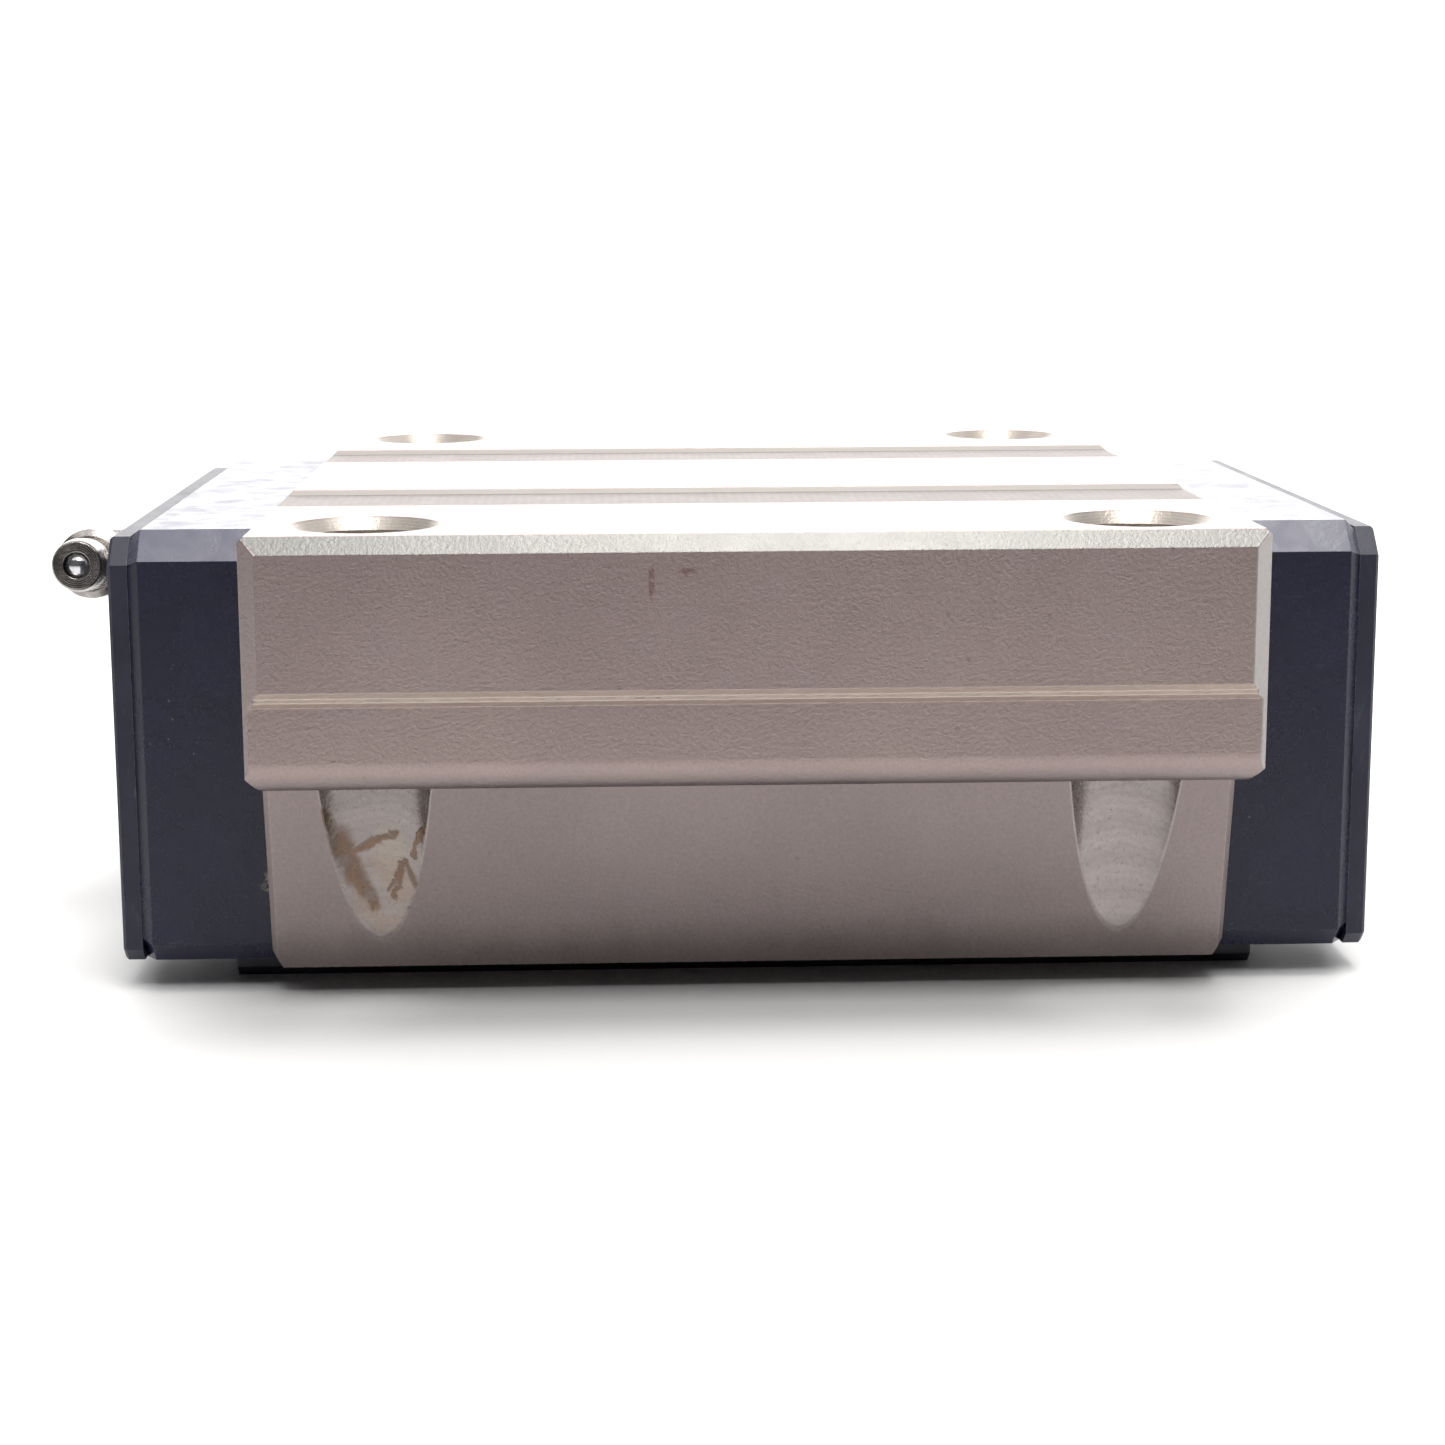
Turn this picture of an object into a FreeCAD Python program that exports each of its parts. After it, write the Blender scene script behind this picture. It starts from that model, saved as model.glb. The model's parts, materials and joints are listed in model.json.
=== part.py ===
import FreeCAD, Part
import math
import os
import Sketcher
from FreeCAD import Vector, Placement, Rotation

# Flange-type linear guide carriage, four rows of recirculating balls.
#
# Frame, millimetres: the origin is the centre of the ground top (table) face,
# +X is the travel direction, +Y is across the rail, +Z is up, away from the rail.
# The grease nipple is on the -X end.
#
# Every driving size is a cell of the sheet "Dims"; sketches, pads, pockets and
# primitives read it through expressions.

doc = FreeCAD.newDocument("LinearGuideCarriage")

DIMS = [
    # steel block
    ("block_length", 80.4, "length of the steel block"),
    ("pad_half", 13.5, "half width of the raised centre pad on the top face"),
    ("relief_out", 27.0, "outer edge of the shallow relief channels on the top face"),
    ("relief_deep", 0.45, "depth of the relief channels"),
    ("ref_half", 50.0, "half width over the ground upper side faces"),
    ("top_bevel", 1.3, "bevel between top face and side face"),
    ("ledge_down", 12.1, "top face to the lower end of the ground side face"),
    ("low_half", 49.0, "half width over the lower part of the flange"),
    ("flange_thick", 20.4, "flange thickness"),
    ("under_round", 2.6, "radius along the lower edge of the flange"),
    ("corner_bevel", 1.4, "bevel on the four upright corners of the flange"),
    ("end_bevel", 0.5, "bevel along the ends of the block"),
    ("wall_top", 38.93, "half width of the body just below the flange"),
    ("wall_low", 35.2, "half width of the body at its lower edge"),
    ("body_down", 38.0, "top face to the lower edge of the steel"),
    ("foot_cut_x", 0.9, "bevel at the lower ends of the body, along X"),
    ("foot_cut_z", 1.5, "bevel at the lower ends of the body, along Z"),
    ("bolt_x", 62.0, "bolt spacing along X"),
    ("bolt_y", 82.0, "bolt spacing along Y"),
    ("bolt_bore", 10.0, "mounting thread, nominal diameter"),
    ("bolt_sink", 12.0, "countersink at the top of each mounting thread"),
    ("scoop_bore", 10.4, "cutter path below each mounting thread"),
    # rail side of the block
    ("roof_down", 16.4, "top face to the roof of the rail channel"),
    ("roof_half", 15.2, "half width of the roof"),
    ("land_half", 18.9, "half width of the wall between the ball rows"),
    ("leg_half", 18.6, "half width of the wall below the lower row"),
    # balls and their circuits
    ("ball_dia", 6.35, "ball"),
    ("track_rad", 3.35, "radius of every ball passage"),
    ("turn_rad", 6.4, "centre-line radius of the ball turn"),
    ("ball_pitch", 6.7, "ball pitch on the straights"),
    ("load_half", 17.2, "half distance between the loaded rows"),
    ("upper_down", 20.2, "top face to the upper loaded rows"),
    ("lower_down", 28.6, "top face to the lower loaded rows"),
    ("upper_tilt", 22.0, "tilt of the upper circuits, degrees"),
    ("lower_tilt", -20.0, "tilt of the lower circuits, degrees"),
    ("guide_rad", 5.6, "radius of the turn guide"),
    ("guide_half", 3.9, "half height of the turn guide"),
    # end caps
    ("cap_long", 11.2, "end cap, along X"),
    ("cap_half", 33.8, "half width of the end cap"),
    ("cap_top", 1.35, "top face of the block to the top of the cap"),
    ("cap_top_bevel", 2.4, "upper long bevel of the cap"),
    ("cap_low_bevel", 1.7, "lower long bevel of the cap"),
    ("cap_end_bevel", 1.0, "bevel round the outer face of the cap"),
    # end seals
    ("plate_thick", 1.65, "end seal plate"),
    ("plate_half", 32.8, "half width of the end seal plate"),
    ("plate_top", 2.0, "top face to the top of the seal plate"),
    ("plate_top_bevel", 2.15, "upper corners of the seal plate"),
    ("plate_low", 38.05, "top face to the bottom of the seal plate"),
    ("plate_low_bevel", 1.1, "lower corners of the seal plate"),
    ("lip_foot", 2.2, "thick part of the end lip, along X"),
    ("lip_edge", 1.1, "wiping edge of the end lip, along X"),
    ("lip_wide", 2.35, "width of the lip's thick part"),
    ("lip_thin", 1.1, "width of the lip's wiping edge"),
    # wiping profile of the rail (half widths and depths)
    ("rail_head", 14.05, "half width at the ball tracks"),
    ("rail_land", 17.05, "half width of the rail between and below the tracks"),
    ("rail_top", 18.85, "depth of the rail's top face"),
    ("rail_a", 21.0, "depth"),
    ("rail_b", 23.35, "depth"),
    ("rail_c", 25.45, "depth"),
    ("rail_d", 27.8, "depth"),
    ("rail_e", 31.6, "depth"),
    ("rail_f", 33.9, "depth"),
    ("cap_gap", 0.5, "gap between the wiping profile and the cap's opening"),
    # side seals
    ("side_half_long", 44.0, "half length of the side seals"),
    ("side_in", 19.0, "inner edge of the side seal carrier"),
    ("side_out", 29.0, "outer edge of the side seal carrier"),
    ("side_deep", 2.5, "height of the side seal carrier"),
    ("side_bevel", 0.9, "bevel of the side seal carrier"),
    ("tongue_in", 20.6, "inner edge of the carrier's end tongue"),
    ("tongue_out", 24.9, "outer edge of the carrier's end tongue"),
    ("tongue_high", 0.95, "height of the carrier's end tongue"),
    ("tongue_long", 3.4, "length of the carrier's end tongue"),
    # screws
    ("screw_dia", 4.0, "end screws, nominal diameter"),
    ("screw_fit", 0.02, "radial play drawn round each thread"),
    ("screw_clear", 0.15, "radial clearance of the screws in caps and plates"),
    ("screw_head", 3.55, "radius of the countersunk head"),
    ("screw_long", 20.0, "length of the end screws"),
    ("screw_deep", 8.5, "depth of the tapped holes in the block"),
    ("screw_up_y", 26.0, "upper screws, half distance"),
    ("screw_up_z", 7.0, "upper screws, depth"),
    ("screw_low_y", 28.0, "lower screws, half distance"),
    ("screw_low_z", 24.2, "lower screws, depth"),
    # grease port, nipple and plug
    ("port_z", 8.0, "depth of the grease port's axis"),
    ("port_dia", 6.0, "grease port thread, nominal diameter"),
    ("nipple_lean", 6.0, "how far the nipple's head points up, degrees"),
    ("elbow_rad", 3.2, "radius of the nipple's elbow"),
    ("elbow_out", 6.25, "seal plate to the elbow's centre"),
    ("hex_across", 7.0, "nipple hexagon across flats"),
    ("hex_thick", 2.4, "nipple hexagon, along X"),
    ("branch_long", 6.3, "elbow centre to the seat of the head"),
    ("head_long", 13.0, "elbow centre to the tip of the head"),
    ("head_rad", 2.4, "radius of the head"),
    ("head_neck", 2.15, "radius of the neck"),
    ("head_tip", 2.1, "radius of the tip face"),
    ("mouth_rad", 1.2, "radius of the head's mouth"),
    ("mouth_deep", 0.7, "depth of the head's mouth"),
    ("valve_rad", 1.45, "radius of the valve bore"),
    ("valve_ball", 1.35, "radius of the check ball"),
    ("valve_gap", 0.01, "check ball's clearance from its seat"),
    ("way_rad", 0.6, "radius of the grease way"),
    ("spring_wire", 0.26, "diameter of the valve spring's wire"),
    ("spring_rad", 0.85, "centre-line radius of the valve spring"),
    ("spring_pitch", 0.66, "pitch of the valve spring"),
]
VAL = {}
sheet = doc.addObject("Spreadsheet::Sheet", "Dims")
for row, (name, number, note) in enumerate(DIMS, 1):
    sheet.set("A%d" % row, note)
    sheet.set("B%d" % row, "%.6g" % number)
    sheet.setAlias("B%d" % row, name)
    VAL[name] = float(number)
doc.recompute()


class Q:
    """A number with the sheet expression that gives it."""

    def __init__(self, v, e=None):
        self.v = float(v)
        self.e = e if e is not None else "(%.9g)" % float(v)

    @staticmethod
    def of(o):
        return o if isinstance(o, Q) else Q(o)

    def __add__(self, o):
        o = Q.of(o)
        return Q(self.v + o.v, "(%s + %s)" % (self.e, o.e))

    __radd__ = __add__

    def __sub__(self, o):
        o = Q.of(o)
        return Q(self.v - o.v, "(%s - %s)" % (self.e, o.e))

    def __rsub__(self, o):
        return Q.of(o) - self

    def __mul__(self, o):
        o = Q.of(o)
        return Q(self.v * o.v, "(%s * %s)" % (self.e, o.e))

    __rmul__ = __mul__

    def __truediv__(self, o):
        o = Q.of(o)
        return Q(self.v / o.v, "(%s / %s)" % (self.e, o.e))

    def __neg__(self):
        return Q(-self.v, "(-1 * %s)" % self.e)


def q(name):
    return Q(VAL[name], "Dims.%s" % name)


def qcos(a):
    return Q(math.cos(math.radians(a.v)), "cos(%s * 1 deg)" % a.e)


def qsin(a):
    return Q(math.sin(math.radians(a.v)), "sin(%s * 1 deg)" % a.e)


Z0 = Q(0)
nodes = []


def publish(obj, label):
    obj.Label = label
    nodes.append(obj)
    return obj


# ---------------------------------------------------------------- helpers

def new_body(label):
    b = doc.addObject("PartDesign::Body", label)
    b.Label = label
    b.AllowCompound = False
    return b


def plane(b, role):
    for f in b.Origin.OriginFeatures:
        if f.Role == role:
            return f
    raise RuntimeError(role)


def new_sketch(b, name, role, base=(None, None, None), turn=None):
    """A sketch on one of the body's own origin planes. base is the offset in
    the plane's own axes, turn is a Rotation in the plane's own axes."""
    sk = b.newObject("Sketcher::SketchObject", name)
    sk.AttachmentSupport = [(plane(b, role), "")]
    sk.MapMode = "FlatFace"
    v = [Q.of(c).v if c is not None else 0.0 for c in base]
    sk.AttachmentOffset = Placement(Vector(*v), turn or Rotation())
    for axis, c in zip("xyz", base):
        if c is not None:
            sk.setExpression(".AttachmentOffset.Base.%s" % axis, Q.of(c).e)
    return sk


def pin_point(sk, cons, exprs, geo, pos, x, y):
    for kind, c, axis in (("DistanceX", x, -2), ("DistanceY", y, -1)):
        if abs(c.v) < 1e-9:
            cons.append(Sketcher.Constraint("PointOnObject", geo, pos, axis))
        else:
            cons.append(Sketcher.Constraint(kind, -1, 1, geo, pos, c.v))
            exprs.append((len(cons) - 1, c.e))


def draw(sk, loops=(), circles=()):
    """Closed polygons and circles, every point and radius bound to the sheet."""
    cons, exprs = [], []
    for pts in loops:
        pts = [(Q.of(a), Q.of(b)) for a, b in pts]
        base = sk.GeometryCount
        count = len(pts)
        for i in range(count):
            a, b = pts[i], pts[(i + 1) % count]
            sk.addGeometry(Part.LineSegment(Vector(a[0].v, a[1].v, 0), Vector(b[0].v, b[1].v, 0)), False)
        for i in range(count):
            cons.append(Sketcher.Constraint("Coincident", base + i, 2, base + (i + 1) % count, 1))
        for i, (x, y) in enumerate(pts):
            pin_point(sk, cons, exprs, base + i, 1, x, y)
    for x, y, r in circles:
        x, y, r = Q.of(x), Q.of(y), Q.of(r)
        geo = sk.addGeometry(Part.Circle(Vector(x.v, y.v, 0), Vector(0, 0, 1), r.v), False)
        pin_point(sk, cons, exprs, geo, 3, x, y)
        cons.append(Sketcher.Constraint("Radius", geo, r.v))
        exprs.append((len(cons) - 1, r.e))
    sk.addConstraint(cons)
    for i, e in exprs:
        sk.setExpression("Constraints[%d]" % i, e)
    return sk


def feature(b, kind, name, sk, length=None, side=None, reverse=False, cuts=None):
    """Pad, Pocket, Revolution or Groove, with a check that it did something."""
    before = b.Shape.Volume if b.Tip else 0.0
    f = b.newObject("PartDesign::" + kind, name)
    f.Profile = sk
    if kind in ("Pad", "Pocket"):
        f.Length = length.v
        f.setExpression("Length", length.e)
        if side:
            f.SideType = side
    else:
        f.ReferenceAxis = (sk, ["V_Axis"])
        f.Angle = 360.0
    f.Reversed = reverse
    b.Tip = f
    doc.recompute()
    if f.Shape.isNull() or not f.isValid():
        raise RuntimeError("%s %s failed: %s" % (b.Label, name, f.getStatusString()))
    change = f.Shape.Volume - before
    if kind in ("Pocket", "Groove"):
        change = -change
    if not change > 1e-4:
        raise RuntimeError("%s %s changed nothing" % (b.Label, name))
    return f


def bevel(b, name, size, want, kind="Chamfer"):
    """Chamfer or fillet every edge of the body's tip that want(edge) accepts."""
    base = b.Tip
    picks = ["Edge%d" % (i + 1) for i, e in enumerate(base.Shape.Edges) if want(e)]
    if not picks:
        raise RuntimeError("%s %s has no edge" % (b.Label, name))
    f = b.newObject("PartDesign::" + kind, name)
    f.Base = (base, picks)
    prop = "Size" if kind == "Chamfer" else "Radius"
    setattr(f, prop, size.v)
    f.setExpression(prop, size.e)
    b.Tip = f
    doc.recompute()
    if f.Shape.isNull() or not f.isValid():
        raise RuntimeError("%s %s failed: %s" % (b.Label, name, f.getStatusString()))
    if not f.Shape.Volume < base.Shape.Volume - 1e-4:
        raise RuntimeError("%s %s changed nothing" % (b.Label, name))
    return f


def mirror(half):
    """Half profile, y >= 0 with its first and last points off the centre line,
    to a full closed loop."""
    return [(Q.of(y), Q.of(z)) for y, z in half] + [(-Q.of(y), Q.of(z)) for y, z in reversed(half)]


def both(y, z, r):
    return [(y, z, r), (-y, z, r)]


def ends(e, x, tol=1e-4):
    return all(abs(abs(v.Point.x) - x) < tol for v in e.Vertexes)


def rail_gap(o, low):
    """The rail's wiping profile, set out by o, open at the bottom (depth low)."""
    k = math.tan(math.radians(25.95))
    a, c = q("rail_head") + o, q("rail_land") + o
    return mirror([
        (a, -(q("rail_top") - o)), (a, -(q("rail_a") - o * k)), (c, -(q("rail_b") - o * k)),
        (c, -(q("rail_c") + o * k)), (a, -(q("rail_d") + o * k)), (a, -(q("rail_e") - o * k)),
        (c, -(q("rail_f") - o * k)), (c, -low),
    ])


half_long = q("block_length") / 2
load_y = q("load_half")
CIRCUITS = {}
for level, depth, tilt in (("upper", "upper_down", "upper_tilt"), ("lower", "lower_down", "lower_tilt")):
    dy, dz = qcos(q(tilt)), qsin(q(tilt))
    CIRCUITS[level] = {
        "load": (load_y, -q(depth)),
        "mid": (load_y + q("turn_rad") * dy, q("turn_rad") * dz - q(depth)),
        "ret": (load_y + 2 * q("turn_rad") * dy, 2 * q("turn_rad") * dz - q(depth)),
        "tilt": VAL[tilt], "tilt_q": q(tilt),
    }
SCREWS = [(s * q("screw_" + lv + "_y"), -q("screw_" + lv + "_z")) for lv in ("up", "low") for s in (1, -1)]


# ---------------------------------------------------------------- steel block
# One ground and hardened steel body: flange, sloping side walls and two legs
# that reach down past the rail.

block = new_body("carriage_block")
profile = mirror([
    (q("pad_half"), Z0),
    (q("pad_half") + 0.4, -q("relief_deep")),
    (q("relief_out") - 0.4, -q("relief_deep")),
    (q("relief_out"), Z0),
    (q("ref_half") - q("top_bevel"), Z0),
    (q("ref_half"), -q("top_bevel")),
    (q("ref_half"), -q("ledge_down")),
    (q("ref_half") - 0.5, -q("ledge_down") - 0.5),
    (q("ref_half") - 0.5, -q("ledge_down") - 0.85),
    (q("low_half"), -q("ledge_down") - 1.3),
    (q("low_half"), -q("flange_thick")),
    (q("wall_top"), -q("flange_thick")),
    (q("wall_low"), -q("body_down")),
    (q("leg_half"), -q("body_down")),
    (q("leg_half"), -(q("lower_down") + 2.9)),
    (load_y, -q("lower_down")),
    (q("land_half"), -(q("lower_down") - 2.86)),
    (q("land_half"), -(q("upper_down") + 2.86)),
    (load_y, -q("upper_down")),
    (load_y - 1.1, -(q("upper_down") - 2.95)),
    (q("roof_half"), -q("roof_down")),
])
sk = draw(new_sketch(block, "block_section", "YZ_Plane"), [profile])
feature(block, "Pad", "block_pad", sk, q("block_length"), side="Symmetric")
bevel(block, "under_edge", q("under_round"),
      lambda e: all(abs(abs(v.Point.y) - VAL["low_half"]) < 1e-4 and abs(v.Point.z + VAL["flange_thick"]) < 1e-4
                    for v in e.Vertexes), kind="Fillet")
# a light bevel on the sloping walls' end edges, cut along the slope
for sy, name in ((1, "back"), (-1, "front")):
    loops = []
    for sx in (1, -1):
        x0, x1, x2 = sx * (half_long - q("end_bevel")), sx * half_long, sx * (half_long + 1)
        y0, y1, y2 = sy * (q("wall_top") - q("end_bevel")), sy * q("wall_top"), sy * (q("wall_top") + 1)
        loops.append([(x0, y1), (x1, y0), (x2, y0), (x2, y2), (x0, y2)])
    sk = draw(new_sketch(block, "wall_end_" + name, "XY_Plane", (None, None, -q("flange_thick"))), loops)
    f = block.newObject("PartDesign::Pocket", "wall_end_cut_" + name)
    f.Profile = sk
    f.UseCustomVector = True
    f.Direction = Vector(0, sy * (VAL["wall_low"] - VAL["wall_top"]), VAL["flange_thick"] - VAL["body_down"])
    f.AlongSketchNormal = False
    f.Length = 20.0
    block.Tip = f
    doc.recompute()
    if not f.isValid():
        raise RuntimeError(f.getStatusString())
# the eight ball passages
cir = []
for c in CIRCUITS.values():
    cir += both(c["load"][0], c["load"][1], q("track_rad"))
    cir += both(c["ret"][0], c["ret"][1], q("track_rad"))
sk = draw(new_sketch(block, "ball_passages", "YZ_Plane"), circles=cir)
feature(block, "Pocket", "ball_passage_cut", sk, q("block_length") + 2, side="Symmetric")
# tapped mounting holes and the cutter's path below them
spots = [(sx * q("bolt_x") / 2, sy * q("bolt_y") / 2) for sx in (1, -1) for sy in (1, -1)]
sk = draw(new_sketch(block, "mount_holes", "XY_Plane"), circles=[(x, y, q("bolt_bore") / 2) for x, y in spots])
feature(block, "Pocket", "mount_hole_cut", sk, q("flange_thick"))
sk = draw(new_sketch(block, "scoops", "XY_Plane", (None, None, -q("flange_thick"))),
          circles=[(x, y, q("scoop_bore") / 2) for x, y in spots])
feature(block, "Pocket", "scoop_cut", sk, q("body_down") - q("flange_thick") + 1)
bevel(block, "mount_hole_sink", (q("bolt_sink") - q("bolt_bore")) / 2,
      lambda e: len(e.Vertexes) == 1 and abs(e.Vertexes[0].Point.z) < 1e-6
      and isinstance(e.Curve, Part.Circle) and abs(e.Curve.Radius - VAL["bolt_bore"] / 2) < 1e-6)
# upright corners of the flange, one plane over its whole height
hx, hy, cb = half_long, q("ref_half"), q("corner_bevel")
tri = []
for sx in (1, -1):
    for sy in (1, -1):
        tri.append([(sx * (hx - cb), sy * hy), (sx * hx, sy * (hy - cb)), (sx * (hx + 1), sy * (hy - cb)),
                    (sx * (hx + 1), sy * (hy + 1)), (sx * (hx - cb), sy * (hy + 1))])
sk = draw(new_sketch(block, "corner_cuts", "XY_Plane"), tri)
feature(block, "Pocket", "corner_cut", sk, q("flange_thick") + 0.3)
# a light bevel across both ends of the top face and at the feet of the legs
eb = q("end_bevel")
tri = []
for sx in (1, -1):
    tri.append([(sx * (hx - eb), Z0), (sx * hx, -eb), (sx * (hx + 1), -eb), (sx * (hx + 1), Q(1)), (sx * (hx - eb), Q(1))])
    tri.append([(sx * (hx - q("foot_cut_x")), -q("body_down")), (sx * hx, -(q("body_down") - q("foot_cut_z"))),
                (sx * (hx + 1), -(q("body_down") - q("foot_cut_z"))), (sx * (hx + 1), -(q("body_down") + 1)),
                (sx * (hx - q("foot_cut_x")), -(q("body_down") + 1))])
sk = draw(new_sketch(block, "end_cuts", "XZ_Plane"), tri)
feature(block, "Pocket", "end_cut", sk, 2 * q("ref_half") + 2, side="Symmetric")
# the flange's lower end edges
for sy, name in ((1, "back"), (-1, "front")):
    tri = [[(sx * (hx - 1.1), -q("flange_thick")), (sx * hx, -(q("flange_thick") - 1.3)),
            (sx * (hx + 1), -(q("flange_thick") - 1.3)), (sx * (hx + 1), -(q("flange_thick") + 0.2)),
            (sx * (hx - 1.1), -(q("flange_thick") + 0.2))] for sx in (1, -1)]
    # the XZ plane's normal is -Y, so its offset counts towards the front
    off = -sy * (q("ref_half") + 1)
    sk = draw(new_sketch(block, "flange_end_" + name, "XZ_Plane", (None, None, off)), tri)
    feature(block, "Pocket", "flange_end_cut_" + name, sk, q("ref_half") + 1 - q("wall_top"), reverse=(sy > 0))
# tapped holes for the end screws
for sx, name in ((1, "right"), (-1, "left")):
    sk = draw(new_sketch(block, "screw_holes_" + name, "YZ_Plane", (None, None, sx * half_long)),
              circles=[(y, z, q("screw_dia") / 2) for y, z in SCREWS])
    feature(block, "Pocket", "screw_hole_cut_" + name, sk, q("screw_deep"), reverse=(sx < 0))
publish(block, "carriage_block")


# ---------------------------------------------------------------- end caps
# Moulded caps that turn the balls round and hold the turn guides. The guides'
# pockets and the toroidal ball turns are cut about each circuit's own axis.

def draw_turn(sk):
    """Half section of a guide's seat joined to the ball turn round it, for a
    groove about the sketch's vertical axis."""
    g, h, r, big = q("guide_rad"), q("guide_half"), q("track_rad"), q("turn_rad")
    chord = math.sqrt(r.v ** 2 - (big.v - g.v) ** 2)
    pts = [(Z0, -h), (g, -h), (g, Q(-chord)), (g, Q(chord)), (g, h), (Z0, h)]
    v = [Vector(a.v, b.v, 0) for a, b in pts]
    sk.addGeometry([Part.LineSegment(v[0], v[1]), Part.LineSegment(v[1], v[2])], False)
    lo = math.atan2(-chord, g.v - big.v)
    arc = Part.ArcOfCircle(Part.Circle(Vector(big.v, 0, 0), Vector(0, 0, 1), r.v), lo, -lo)
    sk.addGeometry(arc, False)
    sk.addGeometry([Part.LineSegment(v[3], v[4]), Part.LineSegment(v[4], v[5]), Part.LineSegment(v[5], v[0])], False)
    cons, exprs = [], []
    for i in range(6):
        cons.append(Sketcher.Constraint("Coincident", i, 2, (i + 1) % 6, 1))
    for geo, x, y in ((0, Z0, -h), (1, g, -h), (4, g, h), (5, Z0, h)):
        pin_point(sk, cons, exprs, geo, 1, x, y)
    for geo in (2, 3):
        cons.append(Sketcher.Constraint("DistanceX", -1, 1, geo, 1, g.v))
        exprs.append((len(cons) - 1, g.e))
    pin_point(sk, cons, exprs, 2, 3, big, Z0)
    cons.append(Sketcher.Constraint("Radius", 2, r.v))
    exprs.append((len(cons) - 1, r.e))
    sk.addConstraint(cons)
    for i, e in exprs:
        sk.setExpression("Constraints[%d]" % i, e)
    return sk


def make_cap(sx, side):
    b = new_body("end_cap_" + side)
    outer = mirror([
        (q("cap_half") - q("cap_top_bevel"), -q("cap_top")),
        (q("cap_half"), -(q("cap_top") + q("cap_top_bevel"))),
        (q("cap_half"), -(q("body_down") - q("cap_low_bevel"))),
        (q("cap_half") - q("cap_low_bevel"), -q("body_down")),
    ])
    off = (None, None, sx * half_long)
    sk = draw(new_sketch(b, "cap_section_" + side, "YZ_Plane", off), [outer])
    feature(b, "Pad", "cap_pad_" + side, sk, q("cap_long"), reverse=(sx < 0))
    bevel(b, "cap_end_bevel_" + side, q("cap_end_bevel"), lambda e: ends(e, half_long.v + VAL["cap_long"])
          and not all(abs(v.Point.z + VAL["body_down"]) < 1e-4 for v in e.Vertexes))
    sk = draw(new_sketch(b, "cap_opening_" + side, "YZ_Plane", off), [rail_gap(q("cap_gap"), q("body_down") + 1)])
    feature(b, "Pocket", "cap_opening_cut_" + side, sk, q("cap_long") + 1, reverse=(sx > 0))
    holes = [(y, z, q("screw_dia") / 2 + q("screw_clear")) for y, z in SCREWS] + [(Z0, -q("port_z"), q("port_dia") / 2)]
    sk = draw(new_sketch(b, "cap_holes_" + side, "YZ_Plane", off), circles=holes)
    feature(b, "Pocket", "cap_hole_cut_" + side, sk, q("cap_long") + 1, reverse=(sx > 0))
    # grease gallery on the inner face, from the port to both upper guides
    loops = [mirror([(Q(22.0), -(q("port_z") - 0.8)), (Q(22.0), -q("port_z") - 6.6),
                     (Q(20.6), -q("port_z") - 6.6), (Q(20.6), -(q("port_z") + 0.8))])]
    sk = draw(new_sketch(b, "cap_gallery_" + side, "YZ_Plane", off), loops)
    feature(b, "Pocket", "cap_gallery_cut_" + side, sk, Q(0.8), reverse=(sx > 0))
    # sockets for the side seal carriers' tongues
    x0, x1 = sx * half_long, sx * (half_long + q("tongue_long") + 0.2)
    loops = [[(x0, sy * (q("tongue_in") - 0.1)), (x1, sy * (q("tongue_in") - 0.1)),
              (x1, sy * (q("tongue_out") + 0.1)), (x0, sy * (q("tongue_out") + 0.1))] for sy in (1, -1)]
    sk = draw(new_sketch(b, "cap_sockets_" + side, "XY_Plane", (None, None, -q("body_down"))), loops)
    feature(b, "Pocket", "cap_socket_cut_" + side, sk, q("tongue_high") + 0.05, reverse=True)
    for level, c in CIRCUITS.items():
        for sy, name in ((-1, "front"), (1, "back")):
            turn = Rotation(Vector(sy, 0, 0), 90.0 + c["tilt"])
            base = (sx * half_long, sy * c["mid"][0], c["mid"][1])
            tag = "%s_%s_%s" % (level, name, side)
            sk = new_sketch(b, "turn_" + tag, "XY_Plane", base, turn)
            sk.setExpression(".AttachmentOffset.Rotation.Angle", "(90 + %s) * 1 deg" % c["tilt_q"].e)
            draw_turn(sk)
            feature(b, "Groove", "turn_cut_" + tag, sk)
    return publish(b, "end_cap_" + side)


make_cap(-1, "left")
make_cap(1, "right")


# ---------------------------------------------------------------- turn guides
# Half spools whose grooved rims are the inner walls of the ball turns.

def place(obj, base, rotation):
    base = [Q.of(c) for c in base]
    obj.Placement = Placement(Vector(*[c.v for c in base]), rotation)
    for axis, c in zip("xyz", base):
        obj.setExpression(".Placement.Base.%s" % axis, c.e)


def bind(obj, prop, value):
    setattr(obj, prop, Q.of(value).v)
    obj.setExpression(prop, Q.of(value).e)


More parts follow.
